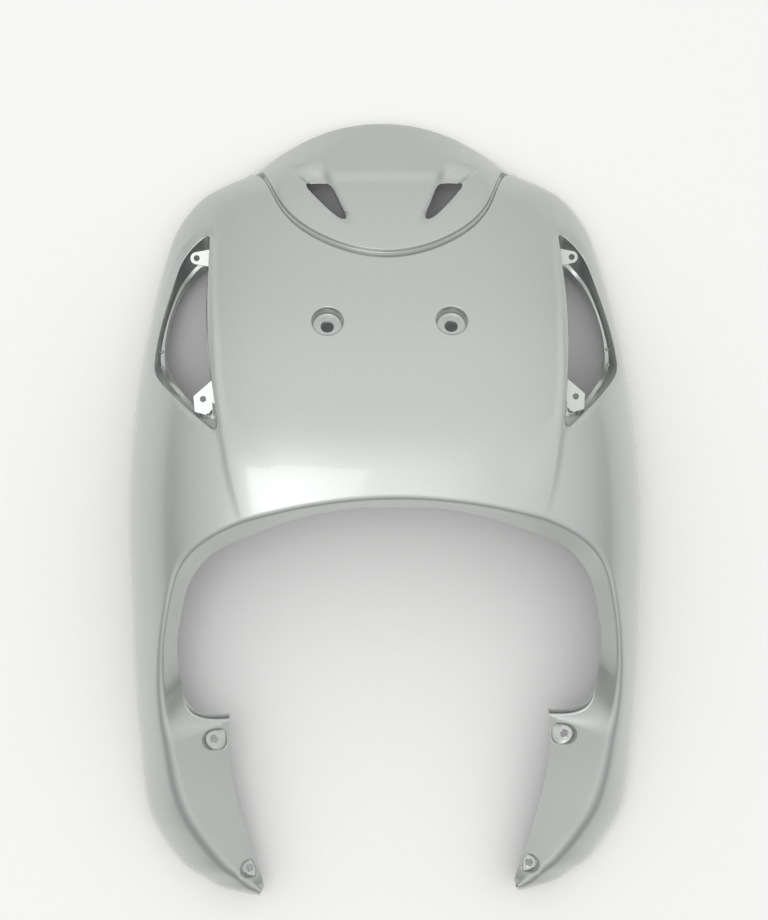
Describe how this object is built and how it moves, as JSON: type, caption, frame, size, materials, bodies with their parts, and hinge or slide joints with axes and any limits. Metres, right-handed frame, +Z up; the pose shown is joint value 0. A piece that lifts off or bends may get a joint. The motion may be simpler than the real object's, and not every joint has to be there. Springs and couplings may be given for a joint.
{
  "type": "scooter front nose panel",
  "caption": "One-piece silver-painted scooter front nose panel with a domed top, scooped vents, lamp windows and an open wheel arch between two legs.",
  "frame": {"origin": "centre of the panel's bounding box in plan, on the surface it lies on", "axes": "+Z up off the table and out of the painted face, +Y from the leg tips to the dome, +X across the panel to its right in the picture"},
  "size_m": [0.3882, 0.588, 0.1316],
  "materials": {
    "silver_paint": "metallic silver paint under clear lacquer on moulded ABS"
  },
  "bodies": {
    "root": {"nose_panel": "silver_paint"}
  },
  "joints": []
}
